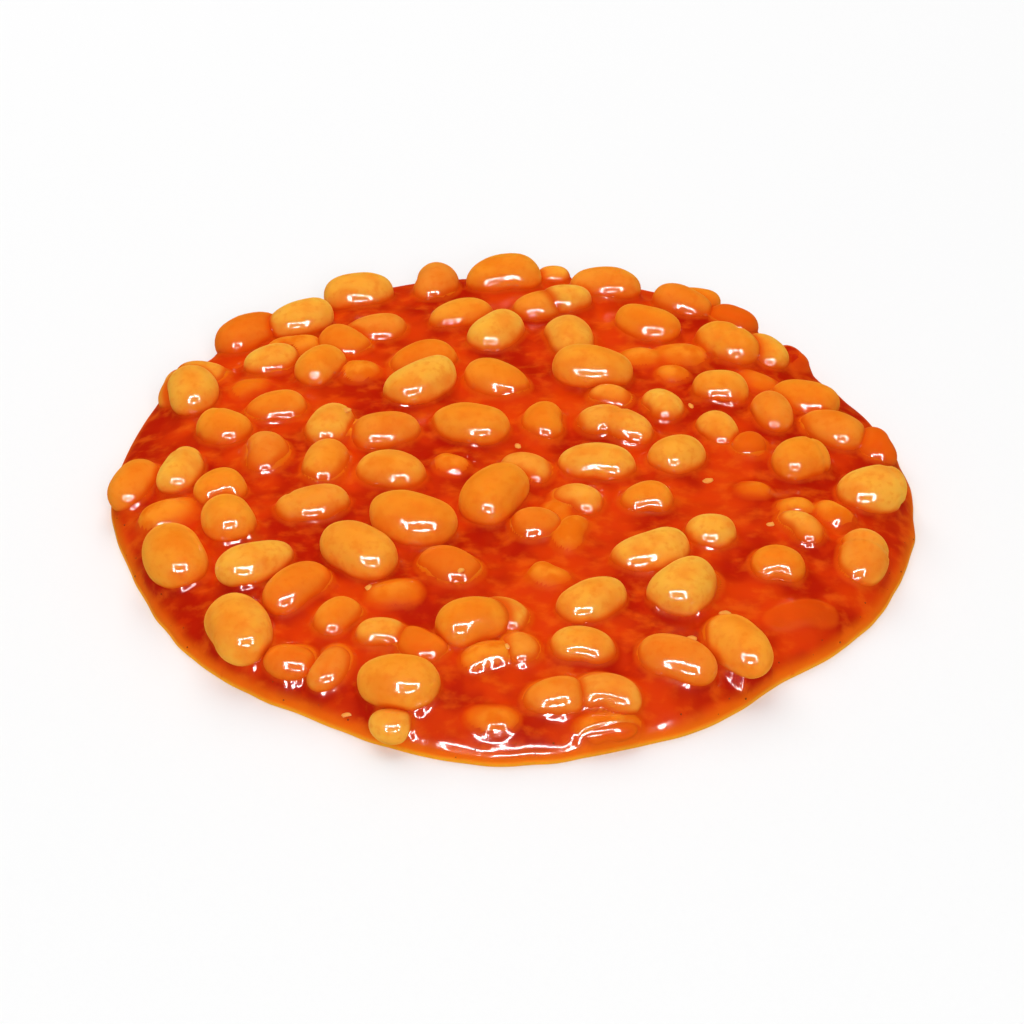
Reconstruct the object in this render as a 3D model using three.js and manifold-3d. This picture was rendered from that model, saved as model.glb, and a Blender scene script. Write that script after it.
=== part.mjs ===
// A helping of baked beans in tomato sauce, as it lies when it is tipped out on a flat table.
// It is one pool of thick sauce, highest in the middle, with the beans standing in it at their own depths.
// Units are millimetres and degrees, and +Z is up. The table is at z = 0, and the front is at -Y.

import * as THREE from "three";
import { mergeVertices } from "three/addons/utils/BufferGeometryUtils.js";
import Module from "manifold-3d";

// The pool of sauce
const SAUCE_LEVEL = 8.3; // height of the sauce in the middle
// How the sauce falls from there to its edge: the first one keeps the middle flat, the second one the rim steep.
const FALL = 3.2;
const SHOULDER = 0.4;
// The edge's radius every 10 degrees, from +X anticlockwise.
const EDGE_RADII = [
  67, 66.5, 65.2, 63.7, 64.3, 65.6, 67, 66.3, 66, 66, 65.8, 66.3, 66, 64.8, 65.2, 66.8, 66, 65.9,
  66, 64.8, 63.7, 63.9, 64, 63.4, 62.8, 63.8, 65.2, 66, 65.2, 64.6, 64.5, 62.8, 64, 65.7, 66.5, 67,
];
const POOL_SPOKES = 48;
// Rings of the pool's top, as shares of the edge's radius. They lie closer where the sauce slopes down.
const POOL_RINGS = [0.98, 0.94, 0.87, 0.75, 0.5];

// A bean's form
const THICKNESS = 0.93; // of its width
const MOST_BEND = 0.035; // of its length: how far a kidney-shaped bean's middle lies to one side of its ends
const MOST_TAPER = 0.12; // how much fatter than the other one of its ends is
const BLUNTNESS = 0.14; // 0 is a plain ellipsoid, and more makes the ends rounder
const MOST_TILT = 9; // degrees that a bean may dip at one end
const MOST_ROLL = 20; // degrees that it may lean to one side
const SUNK = 0.4; // how far below the sauce's level a bean's middle lies when its lift is 0
const LONG_BEAN = 13; // a bean of this length or more, and one that stands proud, has more faces
const PROUD = 1.2; // a lift from which a bean stands proud

// Each bean that shows, from the back to the front: where it lies (x, y), its heading, its length, its width
// and its lift, which is how much higher than usual it stands in the sauce.
const BEANS = [
  [7.8, 60.6, 170, 6.4, 5, 0.8], [-1, 57.8, 15, 13.5, 9.2, 1.6], [-13, 56.4, 80, 10.6, 8.4, 0.8],
  [16.8, 55.2, 168, 13, 8.6, 1.2], [33.2, 54.7, 150, 8, 5.9, 0.5], [-26.3, 53.4, 5, 12.6, 8.6, 1.6],
  [30.2, 50.3, 155, 11.3, 7.6, 1], [9.9, 49.5, 15, 9.3, 6.8, 1.3], [5.2, 47.8, 20, 10, 7, 0.4],
  [38.6, 47.5, 145, 10, 7.4, 0], [-36, 44.5, 22, 12, 8, 1.9], [-8.2, 44, 22, 12, 7.2, 0.8],
  [23.7, 41.3, 155, 12, 8, 1.3], [-22.8, 41, 3, 11, 7.8, -0.3], [-44.6, 42.6, 45, 14.6, 9, 0.6],
  [-2.3, 38.1, 50, 11.5, 8.6, 1], [48.4, 36.6, 120, 8.2, 6.2, -1.5], [-28.2, 36.4, 140, 10.2, 8.4, -0.1],
  [10.2, 36.4, 100, 11.5, 8.7, 0.6], [37.3, 36, 138, 12.7, 9, 1.2], [-36.8, 35.9, 10, 10.5, 7.4, -0.4],
  [43.7, 35.5, 130, 9.5, 7, 0.8], [29, 32.5, 175, 10, 7.4, -0.8], [-40.4, 31.6, 20, 10, 7.8, 0.4],
  [22.3, 31.3, 5, 8.5, 6.4, -0.9], [-14.7, 30.2, 15, 12.3, 8.5, 0], [-52, 29, 0, 10, 7.4, 0.3],
  [-32, 28, 52, 10.2, 7.6, 1.4], [-25, 26.8, 0, 7, 6.4, 0], [27.7, 26.4, 0, 6.2, 5.4, -0.3],
  [42, 26.1, 150, 8, 6.4, -1.2], [-55.8, 26.1, 80, 10.5, 7.4, 0.5], [14.1, 25.7, 175, 14, 9.2, 1.9],
  [-43.5, 23.6, 20, 7.5, 5.8, -0.9], [-53.4, 22.7, 100, 11.4, 9, 1.9], [-2, 23.5, 150, 12.3, 8.9, 0.3],
  [-14.8, 21.9, 33, 13.6, 8.6, 1.8], [35.5, 21.5, 0, 9.9, 7.6, 1.2], [49.7, 21.1, 155, 12, 8.5, 0.6],
  [17, 18.8, 160, 8.2, 6.4, 0], [-39, 16.5, 5, 11.2, 8, 0], [25.5, 16.1, 120, 8.5, 7, 0.6],
  [43.9, 15.5, 100, 10.3, 7.2, 0.8], [-47.4, 11.6, 150, 10, 8.4, 0.5], [-29.8, 10.9, 72, 11, 8.4, 0.4],
  [53.7, 12.1, 145, 12.3, 8.7, 0.5], [5.8, 11.4, 90, 9.4, 7.8, 0.3], [34.6, 9.9, 120, 8.4, 6.8, 0.4],
  [-6.4, 10.1, 160, 13.6, 9, 1], [17.7, 10.1, 155, 13.8, 8.5, 0.5], [-20.4, 8.7, 12, 12, 8.8, 0.5],
  [60.8, 9.5, 110, 9, 7.2, 0.4], [-24.4, 8.7, 120, 8, 6.4, -0.3], [39.6, 5.6, 80, 7.6, 6.6, 0],
  [-40, 3.5, 90, 10.4, 8.4, 0], [27.6, 1.8, 40, 10.4, 8.6, 0.8], [47.8, 1.6, 30, 10.2, 8.9, 1.2],
  [-53.8, 0.5, 75, 11.4, 7.4, 1], [-29.9, 0.3, 78, 11.4, 8, 0.3], [-9.4, -0.4, 155, 6.4, 5.4, 0],
  [14.4, -0.6, 170, 13.2, 8.2, 0.8], [-61.4, -0.7, 62, 11.5, 8.1, 0.5], [2.9, -1.6, 150, 9.5, 7.4, 0.1],
  [-19.3, -2.5, 162, 12, 9, 0.3], [-47, -5.8, 20, 9, 7.8, 1], [59.2, -4.5, 25, 12.3, 9.6, 1.4],
  [39.6, -6.2, 0, 6.6, 5.6, -1], [52.4, -10.8, 125, 7.4, 6, -0.3], [46.2, -10.4, 20, 7, 5.6, -0.3],
  [22.2, -9.9, 10, 9.2, 7.4, 0.4], [11, -10, 153, 9.4, 7.2, 0.1], [-55, -10.1, 15, 10.8, 7.8, -0.9],
  [-2.2, -10.3, 60, 14.2, 9.9, 2], [-31.8, -11, 12, 12.6, 8.2, 0.5], [-45.2, -14.1, 110, 11, 8.8, 1.5],
  [46.9, -15.3, 128, 9.6, 6.4, 0.2], [7.6, -13.6, 90, 7, 5.4, -0.5], [-15.4, -16.6, 165, 14.7, 9.9, 2.1],
  [32.3, -18.2, 5, 8.4, 7.4, 0.8], [4.4, -16.9, 10, 9, 8, 0.1], [9.9, -18.9, 75, 9.4, 5.9, 0],
  [56.3, -21.1, 78, 12.2, 8.7, 0.3], [-53.2, -21.6, 110, 14.5, 10.3, 1.6],
  [22.5, -23.7, 25, 13.6, 8.6, 0.8], [-23.9, -24.3, 143, 13.8, 9.6, 1.8], [42.6, -25.2, 0, 9.2, 8.2, 0.2],
  [-40.2, -25.4, 30, 13.5, 7.8, 1.4], [-9.3, -27.1, 145, 11.8, 9, -0.4], [6.4, -29.8, 155, 7.4, 6.1, 0],
  [29.8, -30.8, 60, 9.5, 7.4, -0.3], [-33.3, -31.6, 45, 13, 8.8, 0.4], [27.4, -32.4, 50, 12.6, 9.8, 1.6],
  [-18, -33.3, 5, 10, 7.4, -1.2], [45.3, -35.3, 20, 13, 6.2, -2.7], [13, -35.9, 35, 12.3, 8.6, 0.8],
  [-26.8, -38.5, 50, 9, 7.2, 0.1], [-0.9, -39.2, 150, 9.5, 7.4, 0.2], [-42.1, -40, 110, 14.5, 10.3, 1.6],
  [-5.4, -41.5, 20, 12.4, 9, 1.4], [-19.7, -42.7, 175, 8.8, 7, 0.1], [35.6, -44, 120, 14.3, 9.4, 1.2],
  [-13.6, -45.3, 138, 10, 7.4, -0.2], [11.4, -46, 175, 10.6, 7.8, 0.3],
  [-33.8, -46.5, 172, 8.8, 6.8, 0.1], [1.7, -46.6, 115, 7.8, 6.4, 0.1], [25.9, -47.8, 158, 13.3, 9, 0.2],
  [-3.2, -48.2, 20, 9.5, 6.7, -0.3], [-27.5, -48.6, 58, 9.2, 6.4, 0], [-16.9, -53.8, 165, 13.2, 9.8, 1.7],
  [15, -55.2, 170, 11.2, 8.2, -0.1], [6.9, -56, 12, 10.4, 7.6, -0.1], [-2.6, -60, 170, 9, 5.6, -1],
  [-18, -59.8, 0, 7, 5.9, 0.6], [15, -60.4, 10, 11, 5.2, -1.5],
];

const BOTTOM_GAP = 0.3; // no bean comes nearer to the table than this

// Each bean gets its own steady number from -1 to 1 by stepping round a circle by an uneven share of a turn.
const BEND_STEP = 0.618034;
const TAPER_STEP = 0.414214;
const TILT_STEP = 0.732051;
const ROLL_STEP = 0.236068;

function spread(index, step) {
  return 2 * (((index + 1) * step) % 1) - 1;
}

// The edge's radius in any direction: a smooth curve through the radii above.
function edgeRadius(angle) {
  const count = EDGE_RADII.length;
  const turn = (((angle / (2 * Math.PI)) % 1) + 1) % 1 * count;
  const i = Math.floor(turn);
  const f = turn - i;
  const [a, b, c, d] = [-1, 0, 1, 2].map((k) => EDGE_RADII[(i + k + count) % count]);
  return b + 0.5 * f * (c - a + f * (2 * a - 5 * b + 4 * c - d + f * (3 * (b - c) + d - a)));
}

function sauceHeight(share) {
  return SAUCE_LEVEL * Math.max(0, 1 - share ** FALL) ** SHOULDER;
}

// The pool: a flat base, the edge and the rings of its top, turned about Z and then pushed out to the edge's radii.
function poolGeometry() {
  const profile = [new THREE.Vector2(0, 0), new THREE.Vector2(1, 0)];
  for (const share of POOL_RINGS) profile.push(new THREE.Vector2(share, sauceHeight(share)));
  profile.push(new THREE.Vector2(0, SAUCE_LEVEL));
  const geometry = new THREE.LatheGeometry(profile, POOL_SPOKES);
  geometry.rotateX(Math.PI / 2);
  const position = geometry.attributes.position;
  for (let i = 0; i < position.count; i++) {
    const radius = edgeRadius(Math.atan2(position.getY(i), position.getX(i)));
    position.setX(i, position.getX(i) * radius);
    position.setY(i, position.getY(i) * radius);
  }
  return geometry;
}

// One bean: a sphere drawn out to a blunt, slightly bent and tapered form, then laid in the pool at its own angle.
function beanGeometry([x, y, heading, length, width, lift], index) {
  const bend = MOST_BEND * spread(index, BEND_STEP);
  const taper = MOST_TAPER * spread(index, TAPER_STEP);
  const tilt = MOST_TILT * spread(index, TILT_STEP);
  const roll = MOST_ROLL * spread(index, ROLL_STEP);
  const fine = length >= LONG_BEAN || lift >= PROUD;
  const geometry = fine ? new THREE.SphereGeometry(1, 8, 6) : new THREE.SphereGeometry(1, 7, 5);
  geometry.rotateZ(-Math.PI / 2);
  const position = geometry.attributes.position;
  for (let i = 0; i < position.count; i++) {
    const along = position.getX(i);
    const swell = (1 + BLUNTNESS * along ** 2) * (1 + taper * along);
    position.setXYZ(
      i,
      (along * length) / 2,
      (position.getY(i) * swell * width) / 2 + bend * length * (2 * along ** 2 - 1),
      (position.getZ(i) * swell * width * THICKNESS) / 2,
    );
  }
  geometry.rotateX(THREE.MathUtils.degToRad(roll));
  geometry.rotateY(THREE.MathUtils.degToRad(tilt));
  geometry.rotateZ(THREE.MathUtils.degToRad(heading));
  geometry.computeBoundingBox();
  const level = sauceHeight(Math.min(1, Math.hypot(x, y) / edgeRadius(Math.atan2(y, x))));
  const middle = Math.max(level - SUNK + lift, BOTTOM_GAP - geometry.boundingBox.min.z);
  geometry.translate(x, y, middle);
  return geometry;
}

const wasm = await Module();
wasm.setup();

function solidFrom(geometry) {
  const bare = geometry.clone();
  bare.deleteAttribute("normal");
  bare.deleteAttribute("uv");
  const merged = mergeVertices(bare, 1e-4);
  const mesh = new wasm.Mesh({
    numProp: 3,
    vertProperties: new Float32Array(merged.attributes.position.array),
    triVerts: new Uint32Array(merged.index.array),
  });
  return new wasm.Manifold(mesh);
}

function geometryFrom(solid) {
  const mesh = solid.getMesh();
  const geometry = new THREE.BufferGeometry();
  geometry.setAttribute("position", new THREE.BufferAttribute(new Float32Array(mesh.vertProperties), 3));
  geometry.setIndex(new THREE.BufferAttribute(new Uint32Array(mesh.triVerts), 1));
  geometry.computeVertexNormals();
  return geometry;
}

// The beans are joined to the pool one after another, so the whole helping is one closed solid.
let helping = solidFrom(poolGeometry());
BEANS.forEach((bean, index) => {
  helping = helping.add(solidFrom(beanGeometry(bean, index)));
});

// The helping stands on the table with the middle of its box over the origin.
const helpingGeometry = geometryFrom(helping);
helpingGeometry.computeBoundingBox();
const box = helpingGeometry.boundingBox;
helpingGeometry.translate(-(box.min.x + box.max.x) / 2, -(box.min.y + box.max.y) / 2, -box.min.z);

const beansInSauce = new THREE.Mesh(
  helpingGeometry,
  new THREE.MeshStandardMaterial({ color: 0xd4641c, roughness: 0.25, metalness: 0 }),
);
beansInSauce.name = "beans_in_sauce";

const bakedBeans = new THREE.Group();
bakedBeans.add(beansInSauce);

export default bakedBeans;
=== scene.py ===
# %% [markdown]
# # A helping of baked beans in tomato sauce
# The real thing is a pool of thick, glossy sauce with a hundred or so cooked beans lying in it. Some stand
# proud, some are half sunk, and a few are only lumps under the surface. We load the solid model first: it
# says how large the helping is and where it lies.

# %% Load the solid model
import math

import bmesh
import bpy
from mathutils import Euler, Matrix, Vector, noise
from mathutils.bvhtree import BVHTree


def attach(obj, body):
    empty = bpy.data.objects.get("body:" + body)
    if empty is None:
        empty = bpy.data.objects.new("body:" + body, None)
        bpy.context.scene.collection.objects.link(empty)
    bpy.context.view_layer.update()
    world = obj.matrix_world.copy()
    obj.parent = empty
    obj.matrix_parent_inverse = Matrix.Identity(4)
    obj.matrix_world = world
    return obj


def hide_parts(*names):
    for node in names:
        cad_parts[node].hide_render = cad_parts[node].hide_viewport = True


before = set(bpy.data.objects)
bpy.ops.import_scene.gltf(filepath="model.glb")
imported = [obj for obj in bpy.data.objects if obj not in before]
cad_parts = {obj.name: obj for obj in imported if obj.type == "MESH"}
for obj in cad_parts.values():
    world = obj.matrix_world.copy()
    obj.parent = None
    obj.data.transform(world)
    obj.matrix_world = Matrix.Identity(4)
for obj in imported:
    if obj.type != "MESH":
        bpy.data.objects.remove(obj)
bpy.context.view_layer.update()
MM = 0.001

# %% [markdown]
# ## Where the beans lie
# Every bean that shows has a row of its own, from the back to the front, in millimetres and degrees. It
# gives the place on the table (x, y), the heading, the length, the width and the lift, which is how much
# higher than usual the bean stands in the sauce. A table is better here than a scatter: the eye knows at
# once if a helping is too even.

# %% The table of beans
BEANS = [
    [7.8, 60.6, 170, 6.4, 5, 0.8], [-1, 57.8, 15, 13.5, 9.2, 1.6], [-13, 56.4, 80, 10.6, 8.4, 0.8],
    [16.8, 55.2, 168, 13, 8.6, 1.2], [33.2, 54.7, 150, 8, 5.9, 0.5], [-26.3, 53.4, 5, 12.6, 8.6, 1.6],
    [30.2, 50.3, 155, 11.3, 7.6, 1], [9.9, 49.5, 15, 9.3, 6.8, 1.3], [5.2, 47.8, 20, 10, 7, 0.4],
    [38.6, 47.5, 145, 10, 7.4, 0], [-36, 44.5, 22, 12, 8, 1.9], [-8.2, 44, 22, 12, 7.2, 0.8],
    [23.7, 41.3, 155, 12, 8, 1.3], [-22.8, 41, 3, 11, 7.8, -0.3], [-44.6, 42.6, 45, 14.6, 9, 0.6],
    [-2.3, 38.1, 50, 11.5, 8.6, 1], [48.4, 36.6, 120, 8.2, 6.2, -1.5],
    [-28.2, 36.4, 140, 10.2, 8.4, -0.1], [10.2, 36.4, 100, 11.5, 8.7, 0.6], [37.3, 36, 138, 12.7, 9, 1.2],
    [-36.8, 35.9, 10, 10.5, 7.4, -0.4], [43.7, 35.5, 130, 9.5, 7, 0.8], [29, 32.5, 175, 10, 7.4, -0.8],
    [-40.4, 31.6, 20, 10, 7.8, 0.4], [22.3, 31.3, 5, 8.5, 6.4, -0.9], [-14.7, 30.2, 15, 12.3, 8.5, 0],
    [-52, 29, 0, 10, 7.4, 0.3], [-32, 28, 52, 10.2, 7.6, 1.4], [-25, 26.8, 0, 7, 6.4, 0],
    [27.7, 26.4, 0, 6.2, 5.4, -0.3], [42, 26.1, 150, 8, 6.4, -1.2], [-55.8, 26.1, 80, 10.5, 7.4, 0.5],
    [14.1, 25.7, 175, 14, 9.2, 1.9], [-43.5, 23.6, 20, 7.5, 5.8, -0.9], [-53.4, 22.7, 100, 11.4, 9, 1.9],
    [-2, 23.5, 150, 12.3, 8.9, 0.3], [-14.8, 21.9, 33, 13.6, 8.6, 1.8], [35.5, 21.5, 0, 9.9, 7.6, 1.2],
    [49.7, 21.1, 155, 12, 8.5, 0.6], [17, 18.8, 160, 8.2, 6.4, 0], [-39, 16.5, 5, 11.2, 8, 0],
    [25.5, 16.1, 120, 8.5, 7, 0.6], [43.9, 15.5, 100, 10.3, 7.2, 0.8], [-47.4, 11.6, 150, 10, 8.4, 0.5],
    [-29.8, 10.9, 72, 11, 8.4, 0.4], [53.7, 12.1, 145, 12.3, 8.7, 0.5], [5.8, 11.4, 90, 9.4, 7.8, 0.3],
    [34.6, 9.9, 120, 8.4, 6.8, 0.4], [-6.4, 10.1, 160, 13.6, 9, 1], [17.7, 10.1, 155, 13.8, 8.5, 0.5],
    [-20.4, 8.7, 12, 12, 8.8, 0.5], [60.8, 9.5, 110, 9, 7.2, 0.4], [-24.4, 8.7, 120, 8, 6.4, -0.3],
    [39.6, 5.6, 80, 7.6, 6.6, 0], [-40, 3.5, 90, 10.4, 8.4, 0], [27.6, 1.8, 40, 10.4, 8.6, 0.8],
    [47.8, 1.6, 30, 10.2, 8.9, 1.2], [-53.8, 0.5, 75, 11.4, 7.4, 1], [-29.9, 0.3, 78, 11.4, 8, 0.3],
    [-9.4, -0.4, 155, 6.4, 5.4, 0], [14.4, -0.6, 170, 13.2, 8.2, 0.8], [-61.4, -0.7, 62, 11.5, 8.1, 0.5],
    [2.9, -1.6, 150, 9.5, 7.4, 0.1], [-19.3, -2.5, 162, 12, 9, 0.3], [-47, -5.8, 20, 9, 7.8, 1],
    [59.2, -4.5, 25, 12.3, 9.6, 1.4], [39.6, -6.2, 0, 6.6, 5.6, -1], [52.4, -10.8, 125, 7.4, 6, -0.3],
    [46.2, -10.4, 20, 7, 5.6, -0.3], [22.2, -9.9, 10, 9.2, 7.4, 0.4], [11, -10, 153, 9.4, 7.2, 0.1],
    [-55, -10.1, 15, 10.8, 7.8, -0.9], [-2.2, -10.3, 60, 14.2, 9.9, 2], [-31.8, -11, 12, 12.6, 8.2, 0.5],
    [-45.2, -14.1, 110, 11, 8.8, 1.5], [46.9, -15.3, 128, 9.6, 6.4, 0.2], [7.6, -13.6, 90, 7, 5.4, -0.5],
    [-15.4, -16.6, 165, 14.7, 9.9, 2.1], [32.3, -18.2, 5, 8.4, 7.4, 0.8], [4.4, -16.9, 10, 9, 8, 0.1],
    [9.9, -18.9, 75, 9.4, 5.9, 0], [56.3, -21.1, 78, 12.2, 8.7, 0.3],
    [-53.2, -21.6, 110, 14.5, 10.3, 1.6], [22.5, -23.7, 25, 13.6, 8.6, 0.8],
    [-23.9, -24.3, 143, 13.8, 9.6, 1.8], [42.6, -25.2, 0, 9.2, 8.2, 0.2],
    [-40.2, -25.4, 30, 13.5, 7.8, 1.4], [-9.3, -27.1, 145, 11.8, 9, -0.4], [6.4, -29.8, 155, 7.4, 6.1, 0],
    [29.8, -30.8, 60, 9.5, 7.4, -0.3], [-33.3, -31.6, 45, 13, 8.8, 0.4],
    [27.4, -32.4, 50, 12.6, 9.8, 1.6], [-18, -33.3, 5, 10, 7.4, -1.2], [45.3, -35.3, 20, 13, 6.2, -2.7],
    [13, -35.9, 35, 12.3, 8.6, 0.8], [-26.8, -38.5, 50, 9, 7.2, 0.1], [-0.9, -39.2, 150, 9.5, 7.4, 0.2],
    [-42.1, -40, 110, 14.5, 10.3, 1.6], [-5.4, -41.5, 20, 12.4, 9, 1.4], [-19.7, -42.7, 175, 8.8, 7, 0.1],
    [35.6, -44, 120, 14.3, 9.4, 1.2], [-13.6, -45.3, 138, 10, 7.4, -0.2],
    [11.4, -46, 175, 10.6, 7.8, 0.3], [-33.8, -46.5, 172, 8.8, 6.8, 0.1],
    [1.7, -46.6, 115, 7.8, 6.4, 0.1], [25.9, -47.8, 158, 13.3, 9, 0.2], [-3.2, -48.2, 20, 9.5, 6.7, -0.3],
    [-27.5, -48.6, 58, 9.2, 6.4, 0], [-16.9, -53.8, 165, 13.2, 9.8, 1.7],
    [15, -55.2, 170, 11.2, 8.2, -0.1], [6.9, -56, 12, 10.4, 7.6, -0.1], [-2.6, -60, 170, 9, 5.6, -1],
    [-18, -59.8, 0, 7, 5.9, 0.6], [15, -60.4, 10, 11, 5.2, -1.5],
]
print("beans that show:", len(BEANS))

# %% [markdown]
# ## The pool's outline
# Thick sauce doesn't spread in a perfect circle. We keep its edge as 36 radii, one for every ten degrees of
# the turn, and draw a smooth curve through them. From the edge the sauce climbs steeply and then flattens
# out, so its height needs only three numbers: the level in the middle, and two for how it falls to the edge.

# %% The edge and the level of the sauce
EDGE_RADII = [
    67, 66.5, 65.2, 63.7, 64.3, 65.6, 67, 66.3, 66, 66, 65.8, 66.3, 66, 64.8, 65.2, 66.8, 66, 65.9,
    66, 64.8, 63.7, 63.9, 64, 63.4, 62.8, 63.8, 65.2, 66, 65.2, 64.6, 64.5, 62.8, 64, 65.7, 66.5, 67,
]
SAUCE_LEVEL = 8.3
FALL = 3.2
SHOULDER = 0.4


def edge_radius(angle):
    """How far out the sauce's edge lies in this direction, in mm."""
    turn = angle / math.tau % 1 * len(EDGE_RADII)
    i = int(turn)
    f = turn - i
    a, b, c, d = (EDGE_RADII[(i + k) % len(EDGE_RADII)] for k in (-1, 0, 1, 2))
    return b + 0.5 * f * (c - a + f * (2 * a - 5 * b + 4 * c - d + f * (3 * (b - c) + d - a)))


def sauce_level(x, y):
    """The height of the calm sauce, in mm."""
    share = min(1, math.hypot(x, y) / edge_radius(math.atan2(y, x)))
    return SAUCE_LEVEL * (1 - share**FALL) ** SHOULDER


print("level of the sauce under the far beans, in mm:", round(sauce_level(0, 58), 2))

# %% [markdown]
# ## Variety without dice
# No two beans are alike, but the scene has to come out the same every time. Stepping round a circle by an
# uneven share of a turn gives each bean its own number from -1 to 1. A new step gives a new set of numbers.

# %% Steady variety
BEND_STEP = 0.618034
TAPER_STEP = 0.414214
TILT_STEP = 0.732051
ROLL_STEP = 0.236068
TONE_STEP = 0.381966


def spread(index, step):
    """A number from -1 to 1 that belongs to this bean."""
    return 2 * ((index + 1) * step % 1) - 1


# %% [markdown]
# ## One bean
# A cooked bean is a blunt egg that bends a little to one side, with a small dent where it once hung in its
# pod. We start from an icosphere, because its triangles are even all round, and push every point into place.

# %% The form of a bean
THICKNESS = 0.93
BLUNTNESS = 0.14
DENT = 0.45
DENT_LENGTH = 0.3
DENT_HEIGHT = 0.55


def bean_form(at, length, width, bend, taper):
    """Moves a point of the unit sphere to the bean's surface, with the bean lying along X."""
    swell = (1 + BLUNTNESS * at.x**2) * (1 + taper * at.x)
    side = math.copysign(1, bend)
    hollow = math.exp(-((at.x / DENT_LENGTH) ** 2) - (at.z / DENT_HEIGHT) ** 2)
    dent = DENT * max(0, at.y * side) ** 2 * hollow
    return Vector((
        at.x * length / 2,
        at.y * swell * width / 2 + bend * length * (2 * at.x**2 - 1) - side * dent,
        at.z * swell * width * THICKNESS / 2,
    ))


# %% [markdown]
# Some of the skins are pinched or have started to split. A crease is a narrow groove right round the bean,
# so it only needs its place along the bean, from -1 to 1, and its depth.

# %% Creases in the skins
CREASES = {
    (-31.8, -11): (-0.5, 0.3),
    (47.8, 1.6): (0.55, 0.4),
    (59.2, -4.5): (0.62, 0.35),
    (56.3, -21.1): (0.3, 0.5),
    (37.3, 36): (-0.05, 0.45),
    (17.7, 10.1): (0.05, 0.45),
    (-47.4, 11.6): (0.5, 0.25),
    (-53.8, 0.5): (0.55, 0.25),
}
CREASE_WIDTH = 0.09
FULL_CREASE = 0.25
SAME_BEAN = 2.0


def look_up(notes, x, y):
    """The note that belongs to the bean lying here, or None."""
    for (note_x, note_y), note in notes.items():
        if math.hypot(x - note_x, y - note_y) < SAME_BEAN:
            return note
    return None


def crease_depth(along, crease):
    """How far the skin is drawn in at this point along the bean, as a share of its half width."""
    where, depth = crease
    return depth * FULL_CREASE * math.exp(-(((along - where) / CREASE_WIDTH) ** 2))


# %% [markdown]
# Sauce runs off a bean that stands high, but some of the beans are still coated all over. The lower a bean
# lies, the more of it is coated. The beans that don't follow that rule have a share of their own here, from
# 0, which is clean, to 1, which is nothing but sauce.

# %% Coated beans
COATED = {
    (38.6, 47.5): 0.8, (48.4, 36.6): 1.0, (-13, 56.4): 0.5, (60.8, 9.5): 0.8, (39.6, 5.6): 0.8,
    (-44.6, 42.6): 0.5, (16.8, 55.2): 0.3, (30.2, 50.3): 0.4, (-20.4, 8.7): 0.4, (-31.8, -11): 0.35,
    (-40, 3.5): 0.5, (-33.3, -31.6): 0.4, (-9.3, -27.1): 0.6, (-33.8, -46.5): 0.55, (-27.5, -48.6): 0.5,
    (-13.6, -45.3): 0.5, (25.9, -47.8): 0.45, (15, -55.2): 0.4, (6.9, -56): 0.4, (-3.2, -48.2): 0.6,
    (4.4, -16.9): 0.5, (9.9, -18.9): 0.5, (43.9, 15.5): 0.4, (53.7, 12.1): 0.35, (17.7, 10.1): 0.3,
    (56.3, -21.1): 0.35, (15, -60.4): 0.9, (45.3, -35.3): 1.0, (-61.4, -0.7): 0.3, (-2.2, -10.3): 0.1,
}
COAT_OF_LEVEL = 0.3
COAT_PER_LIFT = 0.35


def coated_share(x, y, lift):
    """How much of this bean is hidden by a coat of sauce, from 0 to 1."""
    return look_up(COATED, x, y) or min(1, max(0, COAT_OF_LEVEL - COAT_PER_LIFT * lift))


# %% [markdown]
# ## Shaping one of the beans
# A bean's bend, taper, tilt and roll all come from its steady numbers. A soft noise adds low lumps to the
# skin. Each point also keeps its tone, which says how brown the skin is there: every bean has a tone of its
# own, and a flush in the middle of its broad side.

# %% Shape one of the beans
MOST_BEND = 0.035
MOST_TAPER = 0.12
MOST_TILT = 9
MOST_ROLL = 20
LUMP_HEIGHT = 0.16
LUMP_SIZE = 4.5
LUMP_LEVEL = 0.5
NOISE_STRIDE = 7
FLUSH = 0.6
FLUSH_LENGTH = 0.55
FLUSH_WIDTH = 0.5

beans_mesh = bmesh.new()
tone_layer = beans_mesh.verts.layers.float.new("tone")
clear_layer = beans_mesh.verts.layers.float.new("clear")
coated_layer = beans_mesh.verts.layers.float.new("coated")


def bean_turn(index, heading):
    """The turn that lays a bean at its heading and tips and rolls it a little."""
    return Euler((
        math.radians(MOST_ROLL * spread(index, ROLL_STEP)),
        math.radians(MOST_TILT * spread(index, TILT_STEP)),
        math.radians(heading),
    )).to_matrix()


def shape_bean(verts, index, length, width, turn, crease):
    """Pushes the points of a unit ball to the skin of this bean, and gives each point its tone."""
    bend = MOST_BEND * spread(index, BEND_STEP)
    taper = MOST_TAPER * spread(index, TAPER_STEP)
    for vert in verts:
        along = vert.co.x
        across = vert.co.y
        lump = noise.noise(vert.co * length / 2 / LUMP_SIZE + Vector((index * NOISE_STRIDE, 0, 0)))
        lump = LUMP_HEIGHT * (lump - LUMP_LEVEL)
        pinch = 1 - (crease_depth(along, crease) if crease else 0)
        spot = bean_form(vert.co, length, width, bend, taper) + vert.co.normalized() * lump
        spot.y *= pinch
        spot.z *= pinch
        vert.co = turn @ spot
        patch = math.exp(-((along / FLUSH_LENGTH) ** 2) - (across / FLUSH_WIDTH) ** 2)
        vert[tone_layer] = spread(index, TONE_STEP) + FLUSH * patch


# %% [markdown]
# ## All the beans
# Each bean is laid at its heading and let down into the sauce until its middle is where the lift says. None
# goes through the table. All of them become one mesh. We also note three things about each bean for later:
# how it lies, whether a film of sauce covers it, because it barely breaks the surface or is thickly coated,
# and whether it has drowned, so that it is only a lump in the sauce and no skin shows through.

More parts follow.
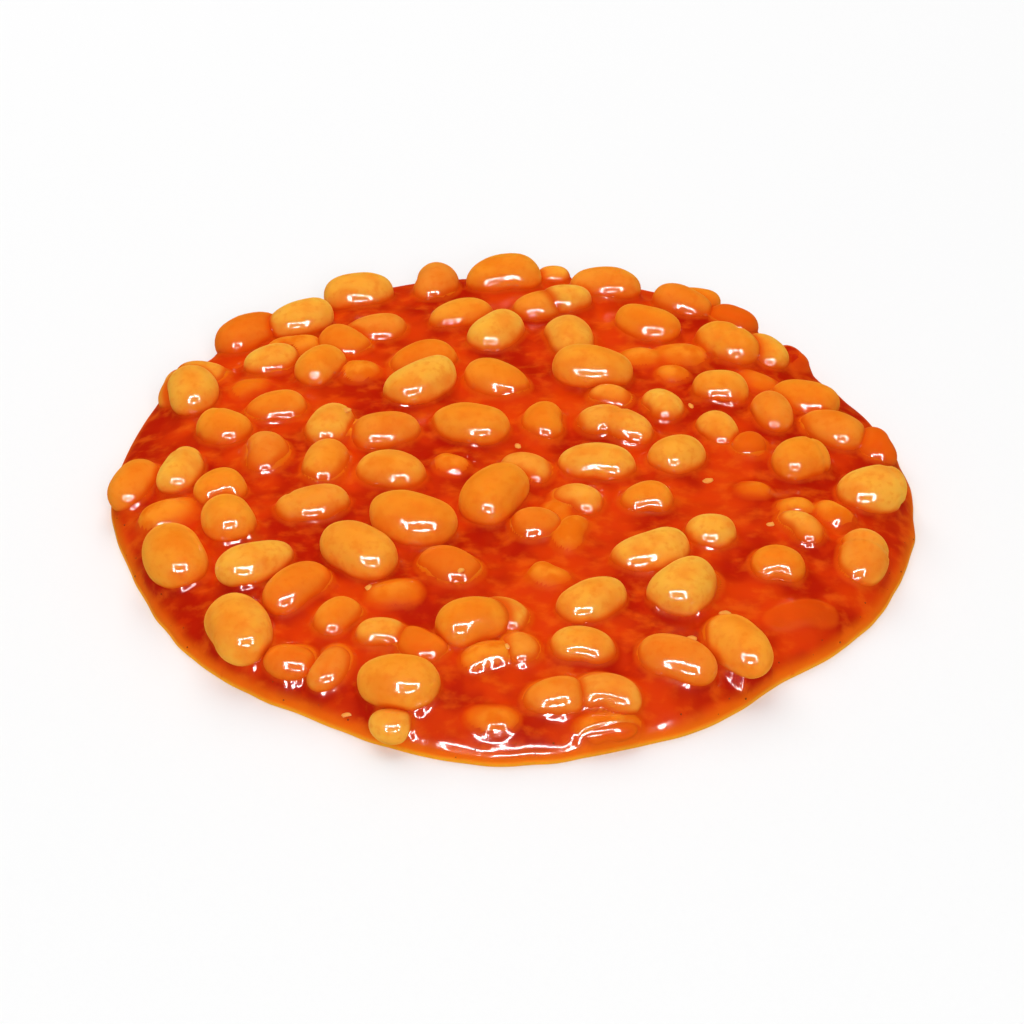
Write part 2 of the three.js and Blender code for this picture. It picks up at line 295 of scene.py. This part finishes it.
# %% Lay the beans
SUNK = 0.4
BOTTOM_GAP = 0.3
BEAN_CUTS = 4
LOW_CAP = 2.5
THICK_COAT = 0.85
ALL_SAUCE = 0.95

laid = []
filmed = []
drowned = []
for index, (x, y, heading, length, width, lift) in enumerate(BEANS):
    turn = bean_turn(index, heading)
    coated = coated_share(x, y, lift)
    verts = bmesh.ops.create_icosphere(beans_mesh, subdivisions=BEAN_CUTS, radius=1)["verts"]
    shape_bean(verts, index, length, width, turn, look_up(CREASES, x, y))
    for vert in verts:
        vert[coated_layer] = coated
    lowest = min(vert.co.z for vert in verts)
    middle = Vector((x, y, max(sauce_level(x, y) - SUNK + lift, BOTTOM_GAP - lowest)))
    bmesh.ops.translate(beans_mesh, vec=middle, verts=verts)
    half_sizes = Vector((length / 2, width / 2, width * THICKNESS / 2))
    laid.append((middle, turn.transposed(), half_sizes))
    cap = max(vert.co.z for vert in verts) - sauce_level(x, y)
    filmed.append(cap < LOW_CAP or coated > THICK_COAT)
    drowned.append(coated > ALL_SAUCE)
faces_per_bean = len(beans_mesh.faces) // len(BEANS)
print("bean faces:", len(beans_mesh.faces))

# %% [markdown]
# ## The sauce
# The sauce is one sheet of fine squares, pushed from a square into the pool's round outline so that its
# squares stay even, and closed underneath. A ring of slices would be simpler, but its slices would crowd in
# the middle and make long thin triangles at the edge.

# %% Squares for a round pool
EDGE_SQUEEZE = 0.25
EDGE_BAND = 0.03


def ring_share(step):
    """Crowds the sheet's squares together near the edge, where the sauce curves most."""
    u = 1 - step
    slow = EDGE_SQUEEZE * EDGE_BAND
    return 1 - u * (u + slow) / (u + EDGE_BAND) * (1 + EDGE_BAND) / (1 + slow)


def disc_place(u, v):
    """Takes a point of the square from -1 to 1 to its share of the radius and its angle in the pool."""
    if u == 0 and v == 0:
        return 0, 0
    if abs(u) > abs(v):
        share = abs(u)
        angle = math.pi / 4 * v / u + (0 if u > 0 else math.pi)
    else:
        share = abs(v)
        angle = math.pi / 2 - math.pi / 4 * u / v + (0 if v > 0 else math.pi)
    return ring_share(share), angle


# %% [markdown]
# Sauce clings to what lies in it. To know where, every point of the sheet asks the beans two things: how
# far off the nearest skin is, and which bean, if any, is straight above or below. A tree of the beans'
# faces answers both quickly.

# %% Ask the beans
HIGH_ABOVE = 40.0

bean_tree = BVHTree.FromBMesh(beans_mesh)


def bean_top(x, y):
    """The height of the highest bean above this place and its number, or None where no bean lies."""
    hit, _, face, _ = bean_tree.ray_cast(Vector((x, y, HIGH_ABOVE)), Vector((0, 0, -1)))
    return (hit.z, face // faces_per_bean) if hit else (None, None)


def beside_beans(spot):
    """How far this spot is from the nearest bean in mm, or 0 inside one."""
    nearest, normal, _, distance = bean_tree.find_nearest(spot)
    return 0 if (spot - nearest).dot(normal) < 0 else distance


# %% [markdown]
# Calm sauce has ripples of two sizes. It lies over a filmed bean as a film, and runs some way up the side
# of any other, further on some beans and in some places than in others.

# %% Heights of the sauce
RIPPLE = 0.6
RIPPLE_SIZE = 7.0
RIPPLE_LEVEL = 0.3
FINE_RIPPLE = 0.24
FINE_RIPPLE_SIZE = 3.5
FILM = 0.13
CLIMB = 0.9
CLIMB_BY_BEAN = 0.6
CLIMB_BY_PLACE = 0.9
CLIMB_SIZE = 3.0


def calm_height(spot, share, inland):
    """The height of the sauce with its ripples, before any bean lifts it."""
    calm = SAUCE_LEVEL * max(0, 1 - share**FALL) ** SHOULDER
    calm += inland * RIPPLE * (noise.noise(spot / RIPPLE_SIZE) - RIPPLE_LEVEL)
    calm += inland * FINE_RIPPLE * noise.noise(spot / FINE_RIPPLE_SIZE)
    return calm


def film_height(spot, calm, top, bean):
    """How high the sauce reaches on a bean: over its top, or some way up its side."""
    film = top + FILM
    if filmed[bean]:
        return film
    by_place = noise.noise(spot / CLIMB_SIZE)
    climb = CLIMB * (1 + CLIMB_BY_BEAN * spread(bean, ROLL_STEP) + CLIMB_BY_PLACE * by_place)
    return min(film, calm + climb)


def soft_max(a, b, blend):
    """The larger of two heights, with the corner between them rounded off."""
    return (a + b + math.sqrt((a - b) ** 2 + blend**2)) / 2


# %% [markdown]
# Now the sheet is laid. It rises a little wherever a bean is near, which makes the bright thin lines round
# the beans. At the pool's edge all of this fades out, so that the rim stays on the table. Each point keeps
# four numbers for the finish: how deep under it a bean lies, how far that bean would stand out of calm
# sauce, how near the next bean is, and how thick the sauce is.

# %% Lay the sheet of sauce
SHEET_CUTS = 305
EDGE_WOBBLE = 0.35
EDGE_WOBBLE_SIZE = 6.0
WOBBLE_POWER = 4
RIPPLE_PACE = 24
FILM_PACE = 40
CLING = 0.75
CLING_REACH = 0.9
FILM_BLEND = 0.6
DEEP = 9.0
HIDDEN_DEPTH = 2.5

sauce_mesh = bmesh.new()
bmesh.ops.create_grid(sauce_mesh, x_segments=SHEET_CUTS, y_segments=SHEET_CUTS, size=1)
depth_layer = sauce_mesh.verts.layers.float.new("depth")
bare_layer = sauce_mesh.verts.layers.float.new("bare")
near_layer = sauce_mesh.verts.layers.float.new("near")
thick_layer = sauce_mesh.verts.layers.float.new("thickness")
for vert in sauce_mesh.verts:
    share, angle = disc_place(vert.co.x, vert.co.y)
    out = Vector((math.cos(angle), math.sin(angle), 0))
    radius = edge_radius(angle)
    wobble = EDGE_WOBBLE * (noise.noise(out * radius / EDGE_WOBBLE_SIZE) - 1)
    spot = out * share * (radius + wobble * share**WOBBLE_POWER)
    inland = min(1, (1 - share) * RIPPLE_PACE)
    on_pool = min(1, (1 - share) * FILM_PACE)
    calm = calm_height(spot, share, inland)
    spot.z = calm
    distance = beside_beans(spot)
    spot.z += inland * CLING * math.exp(-distance / CLING_REACH)
    top, bean = bean_top(spot.x, spot.y)
    vert[bare_layer] = 0
    vert[depth_layer] = DEEP
    if top:
        film = film_height(spot, calm, top, bean)
        spot.z += on_pool * (soft_max(spot.z, film, FILM_BLEND) - spot.z)
        if not drowned[bean]:
            vert[bare_layer] = top - calm
            vert[depth_layer] = max(spot.z - top, HIDDEN_DEPTH * (top - spot.z))
    vert[near_layer] = distance
    vert[thick_layer] = spot.z
    vert.co = spot
print("sauce faces on top:", len(sauce_mesh.faces))

# %% [markdown]
# Two rounds of smoothing take the grain out of the sheet. Its rim is then closed by one flat face, which is
# the underside that lies on the table.

# %% Close the underside
SMOOTHING_ROUNDS = 2
SMOOTHING = 0.5

inner = [vert for vert in sauce_mesh.verts if not vert.is_boundary]
for _ in range(SMOOTHING_ROUNDS):
    bmesh.ops.smooth_vert(sauce_mesh, verts=inner, factor=SMOOTHING, use_axis_z=True)
rim_edges = [edge for edge in sauce_mesh.edges if edge.is_boundary]
bmesh.ops.edgeloop_fill(sauce_mesh, edges=rim_edges)
bmesh.ops.recalc_face_normals(sauce_mesh, faces=sauce_mesh.faces)
sauce_tree = BVHTree.FromBMesh(sauce_mesh)
print("open edges left:", sum(edge.is_boundary for edge in sauce_mesh.edges))

# %% [markdown]
# ## Beans under a film
# A bean and the film over it must not fight for the same place. So the filmed beans are drawn in a little
# towards their own middles, once the sauce has taken their shape.

# %% Draw the filmed beans in
DRAWN_IN = 0.9

beans_mesh.verts.ensure_lookup_table()
verts_per_bean = len(beans_mesh.verts) // len(BEANS)
for bean, is_filmed in enumerate(filmed):
    verts = beans_mesh.verts[bean * verts_per_bean:(bean + 1) * verts_per_bean]
    if is_filmed:
        middle = sum((vert.co for vert in verts), Vector()) / len(verts)
        bmesh.ops.scale(beans_mesh, vec=(DRAWN_IN,) * 3, space=Matrix.Translation(-middle), verts=verts)
print("beans under a film:", sum(filmed))

# %% [markdown]
# ## How much sauce is on each bean
# A bean's skin is palest where it stands clear, and turns orange towards the sauce it stands in. We measure
# how clear each point is and keep it on the point, for the finish to read. It is the height over the sauce,
# or the gap to the next bean where that is less, because sauce also fills the seam between two beans;
# the orange in such a seam is also painted shade.

# %% Measure how clear the skins are
TOUCH_REACH = 1.0


def sauce_top(x, y):
    """The height of the sauce at this place, or 0 beside the pool."""
    hit = sauce_tree.ray_cast(Vector((x, y, HIGH_ABOVE)), Vector((0, 0, -1)))[0]
    return hit.z if hit else 0


def gap_to(spot, bean):
    """Roughly how far this spot is from the skin of another bean, in mm."""
    middle, back_turn, half_sizes = laid[bean]
    local = back_turn @ (spot - middle)
    reach = math.hypot(*(local[i] / half_sizes[i] for i in range(3)))
    return (reach - 1) * half_sizes.y


def neighbours(bean):
    """The beans that lie close enough to touch this one."""
    middle, _, half_sizes = laid[bean]
    return [
        other for other, (place, _, other_sizes) in enumerate(laid)
        if other != bean and (place - middle).length < half_sizes.x + other_sizes.x + TOUCH_REACH
    ]


for bean in range(len(BEANS)):
    close = neighbours(bean)
    for vert in beans_mesh.verts[bean * verts_per_bean:(bean + 1) * verts_per_bean]:
        clear = vert.co.z - sauce_top(vert.co.x, vert.co.y)
        gap = min((gap_to(vert.co, other) for other in close), default=DEEP)
        vert[clear_layer] = max(0, min(clear, gap))
print("height measured on", len(beans_mesh.verts), "points")

# %% [markdown]
# ## Turning a mesh into a piece
# Everything so far is in millimetres, round the middle that the table of beans was measured from. A
# finished piece is in metres, round the middle of the solid model, and it is shaded smooth. It says which
# body it moves with and which finish it takes.

# %% Make a piece
MIDDLE = Vector((0.5, 0, 0))


def make_piece(name, mesh, material):
    """Puts a finished bmesh into the scene under this name."""
    bmesh.ops.translate(mesh, vec=-MIDDLE, verts=mesh.verts)
    bmesh.ops.scale(mesh, vec=(MM, MM, MM), verts=mesh.verts)
    data = bpy.data.meshes.new(name)
    mesh.to_mesh(data)
    mesh.free()
    data.shade_smooth()
    data.materials.append(material)
    piece = bpy.data.objects.new(name, data)
    bpy.context.scene.collection.objects.link(piece)
    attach(piece, "root")
    print(name, "has", len(data.polygons), "faces")
    return piece


# %% [markdown]
# ## Finishes
# A finish is a small tree of nodes. These helpers keep each tree short. One turns a colour as a screen
# shows it into the numbers that light works with, one adds a node, and one mixes two colours.

# %% Colours and nodes


def screen_colour(red, green, blue):
    """A colour read off a screen, as the renderer wants it."""
    steps = [v / 255 for v in (red, green, blue)]
    return [v / 12.92 if v <= 0.04045 else ((v + 0.055) / 1.055) ** 2.4 for v in steps] + [1]


def new_finish(name):
    """A new material, its tree of nodes and its shader."""
    finish = bpy.data.materials.new(name)
    finish.use_nodes = True
    tree = finish.node_tree
    return finish, tree, tree.nodes["Principled BSDF"]


def add_node(tree, kind, links=None, **values):
    """Adds a node, sets its inputs by name and links the sockets in links to its inputs."""
    node = tree.nodes.new(kind)
    for key, value in values.items():
        node.inputs[key.replace("_", " ")].default_value = value
    for key, socket in (links or {}).items():
        tree.links.new(socket, node.inputs[key])
    return node


def mix_colours(tree, share, first, second):
    """A mix of two colours or sockets. A share of 0 is all the first one."""
    node = tree.nodes.new("ShaderNodeMix")
    node.data_type = "RGBA"
    for key, value in (("Factor", share), ("A", first), ("B", second)):
        socket = next(s for s in node.inputs if s.name == key and s.enabled)
        if isinstance(value, bpy.types.NodeSocket):
            tree.links.new(value, socket)
        else:
            socket.default_value = value
    return next(s for s in node.outputs if s.enabled)


# %% [markdown]
# What decides the share of a mix is either a number that the mesh keeps on its points or soft random spots.
# Both are faded, so that one colour runs softly into the next. The spots can raise the surface a little too.

# %% Patterns


def point_value(tree, name):
    """The number that a mesh keeps on its points under this name."""
    node = tree.nodes.new("ShaderNodeAttribute")
    node.attribute_name = name
    return node.outputs["Fac"]


def fade(tree, value, start, end, low=0.0, high=1.0):
    """Turns a value that runs from start to end into one that runs from low to high."""
    node = tree.nodes.new("ShaderNodeMapRange")
    tree.links.new(value, node.inputs["Value"])
    node.interpolation_type = "SMOOTHSTEP"
    for key, number in (("From Min", start), ("From Max", end), ("To Min", low), ("To Max", high)):
        node.inputs[key].default_value = number
    return node.outputs["Result"]


def speckle(tree, size, detail=3.0, stretch=(1, 1, 1)):
    """Soft random spots of this size in mm, drawn out by the stretch, as a value round 0.5."""
    place = tree.nodes.new("ShaderNodeTexCoord").outputs["Object"]
    mapping = add_node(tree, "ShaderNodeMapping", {"Vector": place}, Scale=[1 / v for v in stretch])
    drawn_out = {"Vector": mapping.outputs["Vector"]}
    node = add_node(tree, "ShaderNodeTexNoise", drawn_out, Scale=1 / (size * MM), Detail=detail)
    return node.outputs["Fac"]


def add_bump(tree, shader, height, depth, layer="Normal"):
    """Lets a value raise the surface, or only its wet coat, by up to this depth in mm."""
    bump = add_node(tree, "ShaderNodeBump", {"Height": height}, Distance=depth * MM)
    tree.links.new(bump.outputs["Normal"], shader.inputs[layer])


# %% [markdown]
# ## The wet look
# Everything here is wet. A clear coat gives the sharp highlights, and the body under it hardly shines at
# all. Where the surface turns away from us, a full coat would mirror nearly all the light and hide the
# colours under it, so there the coat is made fainter. The light that goes in comes out again close by, which
# makes food look soft.

# %% The wet look
TURNING_AWAY = 0.5
TURNED_AWAY = 0.9
COAT_LEFT = 0.12
BODY_SHINE = 0.02
WET_ROUGHNESS = 0.11
WET_IOR = 1.45


def wet_look(tree, shader, roughness, coat, subsurface, glow):
    """A wet coat over a softly glowing body. The glow is how far red, green and blue light go in, in mm."""
    facing_away = tree.nodes.new("ShaderNodeLayerWeight").outputs["Facing"]
    coat_there = fade(tree, facing_away, TURNING_AWAY, TURNED_AWAY, coat, COAT_LEFT * coat)
    tree.links.new(coat_there, shader.inputs["Coat Weight"])
    shader.inputs["Roughness"].default_value = roughness
    shader.inputs["Specular IOR Level"].default_value = BODY_SHINE
    shader.inputs["Coat Roughness"].default_value = WET_ROUGHNESS
    shader.inputs["Coat IOR"].default_value = WET_IOR
    shader.inputs["Subsurface Weight"].default_value = subsurface
    shader.inputs["Subsurface Radius"].default_value = [reach * MM for reach in glow]
    shader.inputs["Subsurface Scale"].default_value = 1


# %% [markdown]
# ## The bean skin
# A cooked bean is pale tan, and tomato stains it orange. So we mix from pale to tan by the bean's tone, add
# a coarse and a fine mottle of the stain, and turn the skin to the coat's colour by how much of it is
# coated and how close the sauce or the next bean is. Near the sauce that orange is sauce on the skin, and in
# a seam between two beans it is partly painted shade. Deep in a seam hardly any light comes out of a bean,
# so its softness fades out there.

# %% The bean skin's finish
BEAN_PALE = screen_colour(255, 182, 66)
BEAN_TAN = screen_colour(248, 147, 34)
BEAN_STAINED = screen_colour(236, 112, 10)
BEAN_COATED = screen_colour(230, 88, 6)
SKIN_SOFTNESS = 0.7
SEAM_SOFTNESS = 0.1

skin, tree, shader = new_finish("cooked_bean_skin")
tone = point_value(tree, "tone")
bare = mix_colours(tree, fade(tree, tone, -1, 1), BEAN_PALE, BEAN_TAN)
bare = mix_colours(tree, fade(tree, tone, 0.4, 2.0, high=0.6), bare, BEAN_STAINED)
mottle = fade(tree, speckle(tree, size=5, detail=2), 0.4, 0.7, high=0.45)
bare = mix_colours(tree, mottle, bare, BEAN_STAINED)
fine_mottle = fade(tree, speckle(tree, size=1.2, detail=6), 0.47, 0.72, high=0.35)
bare = mix_colours(tree, fine_mottle, bare, BEAN_STAINED)
coated = mix_colours(tree, fade(tree, point_value(tree, "coated"), 0, 1), bare, BEAN_COATED)
clear = point_value(tree, "clear")
# Near the sauce line this orange is sauce on the skin; in a seam between two beans it is partly painted
# shade.
stain_and_seam_shade = mix_colours(tree, fade(tree, clear, 1.8, 0.2, high=0.5), coated, BEAN_STAINED)
wetting_and_seam_shade = mix_colours(tree, fade(tree, clear, 1.1, 0.0), stain_and_seam_shade, BEAN_COATED)
tree.links.new(wetting_and_seam_shade, shader.inputs["Base Color"])
add_bump(tree, shader, speckle(tree, size=2.2, detail=1), depth=0.06)
add_bump(tree, shader, speckle(tree, size=2.0, detail=3), depth=0.07, layer="Coat Normal")
wet_look(tree, shader, roughness=0.5, coat=1.0, subsurface=SKIN_SOFTNESS, glow=(2.2, 0.9, 0.25))
softness = fade(tree, clear, 0.1, 1.4, low=SEAM_SOFTNESS, high=SKIN_SOFTNESS)
tree.links.new(softness, shader.inputs["Subsurface Weight"])
print("steps in the skin's finish:", len(tree.nodes))

# %% [markdown]
# ## The sauce's finish
# Deep sauce is a dark orange red, with brighter clouds and streaks of pulp, and it is paler close to a
# bean. Where it is thin, at the edge, light comes back from the table through it and turns it orange and
# then yellow. A light path like that would be slow to trace, so a weak glow of the rim's own colour stands
# for it. Where the sauce lies thinly over a bean, the bean shows through. The points of the mesh already
# hold both depths, so the finish only has to mix its colours by them.

# %% The sauce's finish
SAUCE_DEEP = screen_colour(184, 25, 0)
SAUCE_BRIGHT = screen_colour(220, 58, 1)
SAUCE_STREAK = screen_colour(238, 102, 14)
SAUCE_THIN = screen_colour(244, 112, 5)
SAUCE_RIM = screen_colour(255, 170, 40)
RIM_GLOW = 0.16

sauce_finish, tree, shader = new_finish("tomato_sauce")
clouds = fade(tree, speckle(tree, size=11, detail=2), 0.38, 0.62)
body = mix_colours(tree, clouds, SAUCE_DEEP, SAUCE_BRIGHT)
wisps = fade(tree, speckle(tree, size=3, detail=3), 0.5, 0.7, high=0.4)
body = mix_colours(tree, wisps, body, SAUCE_BRIGHT)
streaks = fade(tree, speckle(tree, size=2.6, detail=4, stretch=(1.4, 1, 1)), 0.46, 0.75, high=0.5)
body = mix_colours(tree, streaks, body, SAUCE_STREAK)
beside_a_bean = fade(tree, point_value(tree, "near"), 0.8, 0.0, high=0.6)
body = mix_colours(tree, beside_a_bean, body, BEAN_COATED)
thickness = point_value(tree, "thickness")
body = mix_colours(tree, fade(tree, thickness, 3.2, 0.8), body, SAUCE_THIN)
body = mix_colours(tree, fade(tree, thickness, 1.1, 0.1), body, SAUCE_RIM)
under = mix_colours(tree, fade(tree, point_value(tree, "bare"), 0.2, 2.4), BEAN_COATED, BEAN_TAN)
under = mix_colours(tree, fade(tree, speckle(tree, size=3), 0.35, 0.65), under, BEAN_STAINED)
body = mix_colours(tree, fade(tree, point_value(tree, "depth"), 1.1, 0.1), body, under)
tree.links.new(body, shader.inputs["Base Color"])
shader.inputs["Emission Color"].default_value = SAUCE_RIM
tree.links.new(fade(tree, thickness, 1.4, 0.2, high=RIM_GLOW), shader.inputs["Emission Strength"])
add_bump(tree, shader, speckle(tree, size=1.5, detail=3), depth=0.05)
add_bump(tree, shader, speckle(tree, size=2.4, detail=2), depth=0.07, layer="Coat Normal")
wet_look(tree, shader, roughness=0.5, coat=1.0, subsurface=0.4, glow=(1.5, 0.3, 0.05))
print("steps in the sauce's finish:", len(tree.nodes))

# %% [markdown]
# ## Flecks in the sauce
# Bits of bean skin and pulp float in the sauce as small pale scales. The few that catch the eye have places
# of their own. Each starts as a flattened ball, and a coarse noise makes it ragged. The noise that pushes
# points in all three directions draws its start by chance, so it gets a seed.

# %% Flecks of skin and pulp
FLECKS = [
    (-27, 12, 40, 1.8), (33.8, -37.3, 10, 2.2), (28.5, -42.5, 160, 1.8), (-0.2, -47.5, 80, 1.6),
    (-24.7, -56.5, 20, 1.8), (42.2, -14.5, 30, 1.6), (-7.5, -30.5, 60, 1.5), (1.5, 5.5, 120, 1.4),
    (32.5, -3, 20, 2.0), (30.5, 17.5, 100, 1.5), (-22, -32, 70, 1.7),
]
FLECK_THICKNESS = 0.22
RAGGEDNESS = 0.25
RAGGED_PACE = 1.5
RAGGED_DIRECTIONS = Vector((1, 1, 0.3))
RAGGED_SEED = 4


def surface_height(x, y):
    """The height of whatever is on top here, sauce or bean."""
    return max(sauce_top(x, y), bean_top(x, y)[0] or 0)


flecks_mesh = bmesh.new()
for x, y, heading, size in FLECKS:
    place = (
        Matrix.Translation((x, y, surface_height(x, y)))
        @ Matrix.Rotation(math.radians(heading), 4, "Z")
        @ Matrix.Diagonal((size / 2, size / 3, FLECK_THICKNESS, 1))
    )
    bmesh.ops.create_icosphere(flecks_mesh, subdivisions=2, radius=1, matrix=place)
noise.seed_set(RAGGED_SEED)
for vert in flecks_mesh.verts:
    vert.co += RAGGEDNESS * noise.noise_vector(vert.co * RAGGED_PACE) * RAGGED_DIRECTIONS
print("flecks:", len(FLECKS))

# %% [markdown]
# Tiny dark specks of pepper lie along the front edge, where the sauce is thin enough to show them. They are
# strewn along the front half of the turn by the steady numbers, and left out where a bean lies or where the
# sauce is too thin to hold them.

# %% Specks of pepper along the edge
SPECK_COUNT = 46
SPECK_SIZE = 0.13
SPECK_VARIETY = 0.5
SPECK_SHUFFLE = 0.4
LEAST_DEPTH = 0.5
SPECK_INSETS = (0.3, 2.2)
FRONT_START = 185
FRONT_TURN = 170

specks_mesh = bmesh.new()
for index in range(SPECK_COUNT):
    step = index + SPECK_SHUFFLE * spread(index, BEND_STEP)
    angle = math.radians(FRONT_START + FRONT_TURN * step / SPECK_COUNT)
    inset = SPECK_INSETS[0] + (SPECK_INSETS[1] - SPECK_INSETS[0]) * (1 + spread(index, TAPER_STEP)) / 2
    radius = edge_radius(angle) - inset
    x = radius * math.cos(angle)
    y = radius * math.sin(angle)
    if bean_top(x, y)[0] or sauce_top(x, y) < LEAST_DEPTH:
        continue
    size = SPECK_SIZE * (1 + SPECK_VARIETY * spread(index, TONE_STEP))
    place = Matrix.Translation((x, y, surface_height(x, y))) @ Matrix.Scale(size, 4)
    bmesh.ops.create_icosphere(specks_mesh, subdivisions=1, radius=1, matrix=place)
print("points on all the specks:", len(specks_mesh.verts))

# %% [markdown]
# The flecks are paler than anything round them, and the specks are darker. Both are mixed from two colours
# by spots smaller than themselves, so that no two come out quite the same.

# %% The finishes of the flecks and specks
PULP_PALE = screen_colour(250, 190, 90)
PULP_STAINED = screen_colour(240, 120, 40)
PEPPER_DARK = screen_colour(112, 40, 6)
PEPPER_BROWN = screen_colour(165, 70, 12)

fleck_finish, tree, shader = new_finish("pale_bean_pulp")
pulp = mix_colours(tree, speckle(tree, size=0.7), PULP_PALE, PULP_STAINED)
tree.links.new(pulp, shader.inputs["Base Color"])
wet_look(tree, shader, roughness=0.35, coat=0.6, subsurface=0.2, glow=(1, 0.5, 0.2))

pepper_finish, tree, shader = new_finish("dark_pepper")
pepper = mix_colours(tree, speckle(tree, size=0.2), PEPPER_DARK, PEPPER_BROWN)
tree.links.new(pepper, shader.inputs["Base Color"])
wet_look(tree, shader, roughness=0.4, coat=0.4, subsurface=0, glow=(1, 1, 1))
print("finishes for the small bits:", fleck_finish.name, pepper_finish.name)

# %% [markdown]
# ## The pieces
# The sauce stands for the solid model's one node, and the beans, flecks and specks lie in it.

# %% Put the pieces in the scene
sauce = make_piece("sauce", sauce_mesh, sauce_finish)
make_piece("beans", beans_mesh, skin)
make_piece("skin_flecks", flecks_mesh, fleck_finish)
make_piece("pepper_specks", specks_mesh, pepper_finish)
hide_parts("beans_in_sauce")

# %% [markdown]
# ## The table
# A plain pale table lies under the helping. It is a little lower than the sauce's underside, so that the
# two never fight for the same place. The wet coats don't mirror it, because it would make them look milky.

# %% The table
TABLE_SIZE = 6.0
TABLE_GAP = 0.00005
TABLE_WHITE = (0.9, 0.9, 0.9, 1)

table_mesh = bmesh.new()
bmesh.ops.create_grid(table_mesh, x_segments=1, y_segments=1, size=TABLE_SIZE / 2)
bmesh.ops.translate(table_mesh, vec=(0, 0, -TABLE_GAP), verts=table_mesh.verts)
table_data = bpy.data.meshes.new("table")
table_mesh.to_mesh(table_data)
table_mesh.free()
table = bpy.data.objects.new("table", table_data)
bpy.context.scene.collection.objects.link(table)
white, tree, shader = new_finish("white_table")
shader.inputs["Base Color"].default_value = TABLE_WHITE
shader.inputs["Roughness"].default_value = 0.8
shader.inputs["Specular IOR Level"].default_value = 0.1
table_data.materials.append(white)
table.visible_glossy = False
print("table width in m:", TABLE_SIZE)

# %% [markdown]
# ## The camera
# It looks down at 37 degrees from the front, through a long lens, so that the far beans stay nearly as
# large as the near ones. The lens is worked out from how wide the view is at the helping.

# %% The camera
ELEVATION = math.radians(37)
CAMERA_DISTANCE = 0.650
FRAME_WIDTH = 0.169
AIM = Vector((0, 0, 0))
AIM_DOWN = 0.00085
SENSOR_WIDTH = 36

up = Vector((0, math.sin(ELEVATION), math.cos(ELEVATION)))
back = Vector((0, -math.cos(ELEVATION), math.sin(ELEVATION)))
camera_data = bpy.data.cameras.new("camera")
camera_data.sensor_width = SENSOR_WIDTH
camera_data.lens = SENSOR_WIDTH * CAMERA_DISTANCE / FRAME_WIDTH
camera = bpy.data.objects.new("camera", camera_data)
camera.location = AIM - up * AIM_DOWN + back * CAMERA_DISTANCE
camera.rotation_euler = (math.pi / 2 - ELEVATION, 0, 0)
bpy.context.scene.collection.objects.link(camera)
bpy.context.scene.camera = camera
print("lens in mm:", round(camera_data.lens, 1))

# %% [markdown]
# ## The light
# Wet food lives by its highlights. Four narrow lamps stand like a window frame in front, and every bean
# mirrors that frame. They light nothing else. Two large soft lamps do that, and they are kept out of the
# mirror images, so that the colours stay deep.

# %% Lamps


def add_lamp(name, at, towards, size, brightness):
    """A rectangular lamp at a place, facing another. Brightness is what its surface shines with."""
    lamp_data = bpy.data.lights.new(name, "AREA")
    lamp_data.shape = "RECTANGLE"
    lamp_data.size = size[0]
    lamp_data.size_y = size[1]
    lamp_data.energy = brightness * math.pi * size[0] * size[1]
    lamp = bpy.data.objects.new(name, lamp_data)
    lamp.location = at
    lamp.rotation_euler = (Vector(towards) - Vector(at)).to_track_quat("-Z", "Y").to_euler()
    lamp.visible_camera = False
    bpy.context.scene.collection.objects.link(lamp)
    return lamp


WINDOW = Vector((0.02, -0.375, 0.235))
WINDOW_HALF = 0.2
WINDOW_RISE = 0.12
BAR = 0.034
BAR_SHINE = 62
TOP_OF_SAUCE = Vector((0, 0, 0.008))
facing = (TOP_OF_SAUCE - WINDOW).normalized()
rise = Vector((1, 0, 0)).cross(facing)
for name, shift, size in (
    ("window_top", rise * WINDOW_RISE, (2 * WINDOW_HALF, BAR)),
    ("window_left", Vector((-WINDOW_HALF, 0, 0)), (BAR, 2 * WINDOW_RISE)),
    ("window_right", Vector((WINDOW_HALF, 0, 0)), (BAR, 2 * WINDOW_RISE)),
    ("window_sill", -rise * WINDOW_RISE, (WINDOW_HALF, BAR)),
):
    lamp = add_lamp(name, WINDOW + shift, WINDOW + shift + facing, size, BAR_SHINE)
    lamp.visible_diffuse = False
for name, at, size, brightness in (
    ("soft_front", (0.1, -1.0, 0.9), (0.7, 0.7), 4.6),
    ("soft_top", (-0.15, 0.6, 1.0), (1.3, 1.3), 1.8),
):
    lamp = add_lamp(name, at, (0, 0, 0), size, brightness)
    lamp.visible_glossy = False
print("lamps:", len(bpy.data.lights))

# %% [markdown]
# ## The room
# The room is plain white and gives a soft light from all sides. It is kept out of the mirror images too. The
# Standard view shows the colours as they are, without the softer contrast of Blender's usual view.

# %% The room and the picture
ROOM_WHITE = (1, 1, 1, 1)
ROOM_LIGHT = 0.43

world = bpy.data.worlds.new("room")
world.use_nodes = True
world.node_tree.nodes["Background"].inputs["Color"].default_value = ROOM_WHITE
world.node_tree.nodes["Background"].inputs["Strength"].default_value = ROOM_LIGHT
bpy.context.scene.world = world
world.cycles_visibility.glossy = False
bpy.context.scene.view_settings.view_transform = "Standard"
print("view:", bpy.context.scene.view_settings.view_transform)
